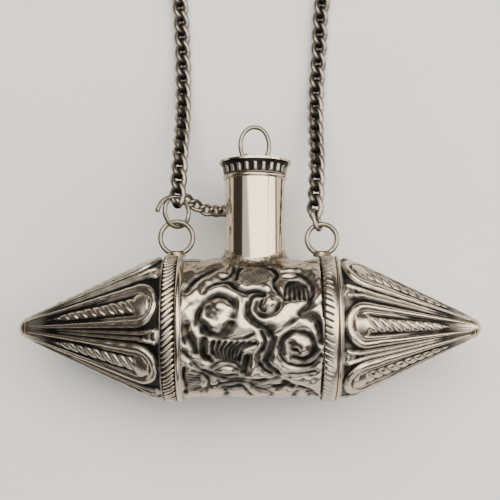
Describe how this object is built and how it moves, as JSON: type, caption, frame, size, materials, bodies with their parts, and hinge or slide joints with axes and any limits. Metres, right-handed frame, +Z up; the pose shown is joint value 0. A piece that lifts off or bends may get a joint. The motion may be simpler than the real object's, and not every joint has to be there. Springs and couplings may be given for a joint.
{
  "type": "scent flask pendant",
  "caption": "Chased silver scent flask with a cylindrical drum, pointed cone ends, a stoppered neck with a pull ring and a curb neck chain.",
  "frame": {"origin": "on the table that the flask lies on, under the middle of the flask's own outline (drum, cones, neck, stopper and rings, without the chains)", "axes": "+X along the spindle from the left cone's tip to the right cone's tip, +Y along the neck towards the stopper, +Z up from the table"},
  "size_m": [0.0916, 0.1395, 0.029],
  "materials": {
    "chased_silver": "chased silver sheet, blackened in the recesses, rubbed bright on the relief",
    "hatched_silver": "silver strip cut with slanted strokes, dark in the cuts",
    "plain_silver": "plain worn silver",
    "polished_silver": "smooth polished silver tube",
    "silver_wire": "drawn silver wire, dull grey patina",
    "chain_silver": "curb chain of silver wire, dull grey patina",
    "solder": "rough yellowish hard solder",
    "cork": "turned cork, dulled"
  },
  "bodies": {
    "flask": {"drum_shell": "chased_silver", "left_cone": "chased_silver", "right_cone": "chased_silver", "left_tip": "plain_silver", "right_tip": "plain_silver", "left_collar_band": "hatched_silver", "right_collar_band": "hatched_silver", "left_collar_wire": "plain_silver", "right_collar_wire": "plain_silver", "neck_tube": "polished_silver", "neck_solder": "solder", "neck_rim": "hatched_silver", "neck_bead": "plain_silver", "left_ring": "silver_wire", "right_ring": "silver_wire", "left_saddle": "solder", "right_saddle": "solder", "jump_ring": "silver_wire", "right_end_link": "silver_wire", "tether_links": "silver_wire", "left_strand": "chain_silver", "right_strand": "chain_silver", "chain_coil": "chain_silver"},
    "stopper": {"stopper_plate": "plain_silver", "stopper_plug": "cork", "stopper_staple": "silver_wire"},
    "pull_ring": {"pull_ring": "silver_wire"}
  },
  "joints": [
    {"name": "stopper_pull", "type": "slide", "parent": "flask", "child": "stopper", "axis": [0, 1, 0], "range_m": [0, 0.012]},
    {"name": "pull_ring_swing", "type": "hinge", "parent": "stopper", "child": "pull_ring", "pos_m": [0.001, 0.0211, 0.0141], "axis": [1, 0, 0], "range_deg": [-80, 80]}
  ]
}
